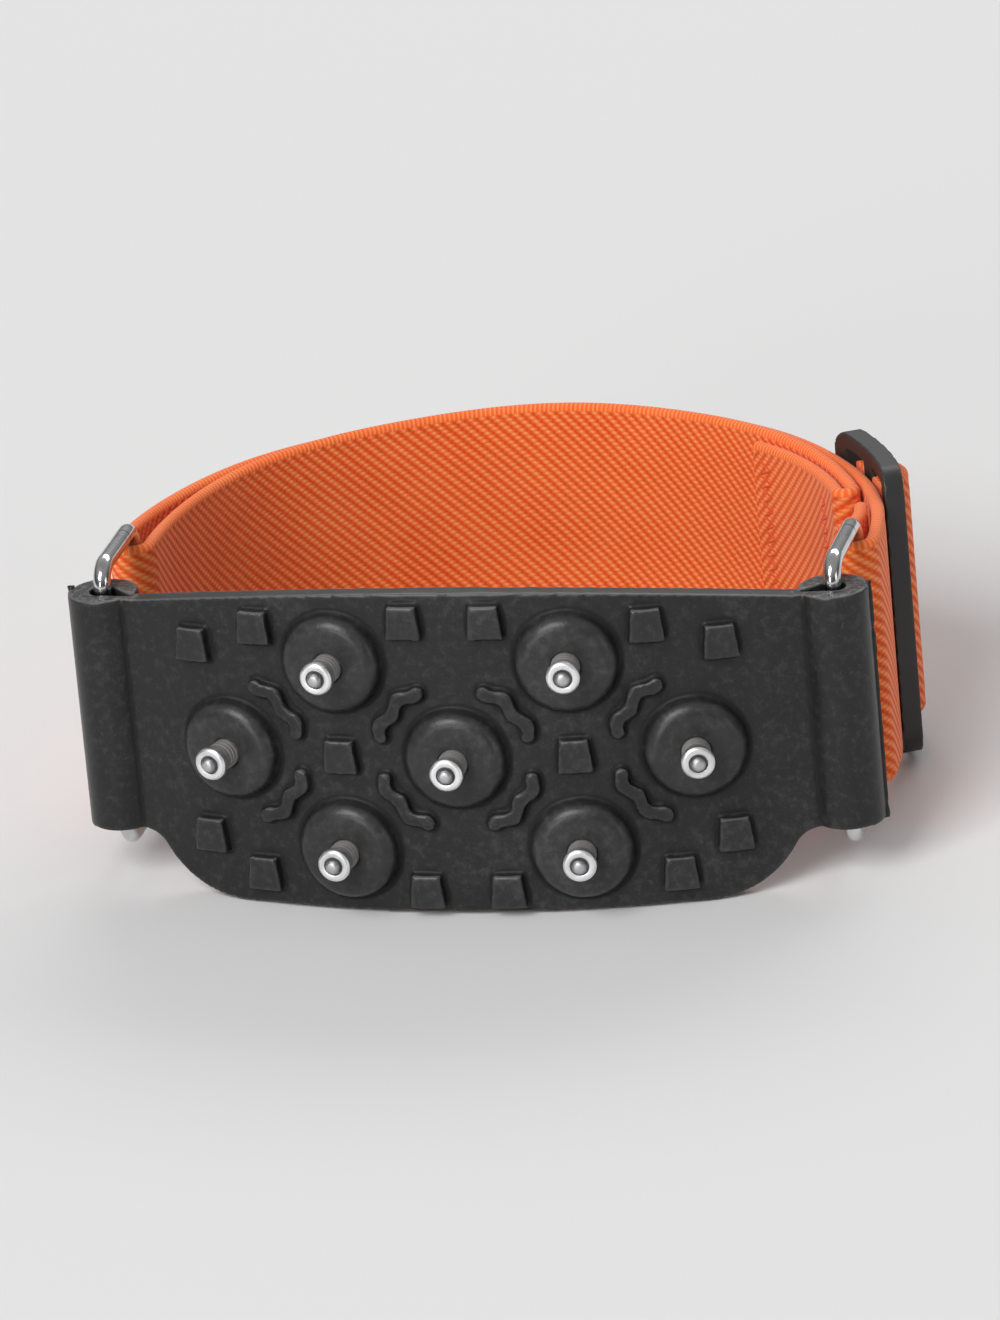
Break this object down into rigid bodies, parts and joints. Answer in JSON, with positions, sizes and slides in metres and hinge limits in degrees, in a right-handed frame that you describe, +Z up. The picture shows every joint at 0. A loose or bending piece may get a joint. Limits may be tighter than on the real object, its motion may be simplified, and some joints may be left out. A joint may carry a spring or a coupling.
{
  "type": "mid-sole ice cleat",
  "caption": "Bowed rubber pad with carbide-tipped studs for the middle of a boot sole, held by wire rings and an elastic instep strap with a slider.",
  "frame": {"origin": "on the floor under the middle of the cleat's box, with the cleat standing on its heel edge and the slider's lower end", "axes": "+X across the sole to the slider's side, +Y from the studs to the instep, +Z up, from the heel edge to the toe edge"},
  "size_m": [0.1194, 0.0998, 0.0499],
  "materials": {
    "pad_rubber": "matte moulded rubber",
    "stud_steel": "turned and zinc plated",
    "tip_carbide": "ground hard metal",
    "ring_chrome": "bright plated wire",
    "strap_webbing": "elastic twill webbing",
    "slider_plastic": "moulded, satin"
  },
  "bodies": {
    "pad": {"cleat_pad": "pad_rubber", "stud_1": "stud_steel", "stud_2": "stud_steel", "stud_3": "stud_steel", "stud_4": "stud_steel", "stud_5": "stud_steel", "stud_6": "stud_steel", "stud_7": "stud_steel", "carbide_tip_1": "tip_carbide", "carbide_tip_2": "tip_carbide", "carbide_tip_3": "tip_carbide", "carbide_tip_4": "tip_carbide", "carbide_tip_5": "tip_carbide", "carbide_tip_6": "tip_carbide", "carbide_tip_7": "tip_carbide"},
    "left_ring": {"left_ring": "ring_chrome"},
    "right_ring": {"right_ring": "ring_chrome"},
    "strap": {"strap": "strap_webbing"},
    "slider": {"slider": "slider_plastic", "slider_turn": "strap_webbing"}
  },
  "joints": [
    {"name": "left_ring_swing", "type": "hinge", "parent": "pad", "child": "left_ring", "pos_m": [-0.0545, -0.02739, 0.02665], "axis": [0, 0.0781, 0.9969], "range_deg": [-45, 45]},
    {"name": "right_ring_swing", "type": "hinge", "parent": "pad", "child": "right_ring", "pos_m": [0.0545, -0.02739, 0.02665], "axis": [0, 0.0781, 0.9969], "range_deg": [-45, 45]},
    {"name": "strap_swing", "type": "hinge", "parent": "left_ring", "child": "strap", "pos_m": [-0.0545, -0.00945, 0.02524], "axis": [0, 0.0781, 0.9969], "range_deg": [-45, 45]},
    {"name": "slider_travel", "type": "hinge", "parent": "strap", "child": "slider", "pos_m": [0, -0.00945, 0.02524], "axis": [0, 0.0781, 0.9969], "range_deg": [-5, 45]}
  ],
  "couplings": [
    {"joint": "right_ring_swing", "follows": "left_ring_swing", "ratio": 1},
    {"joint": "strap_swing", "follows": "left_ring_swing", "ratio": -1}
  ]
}
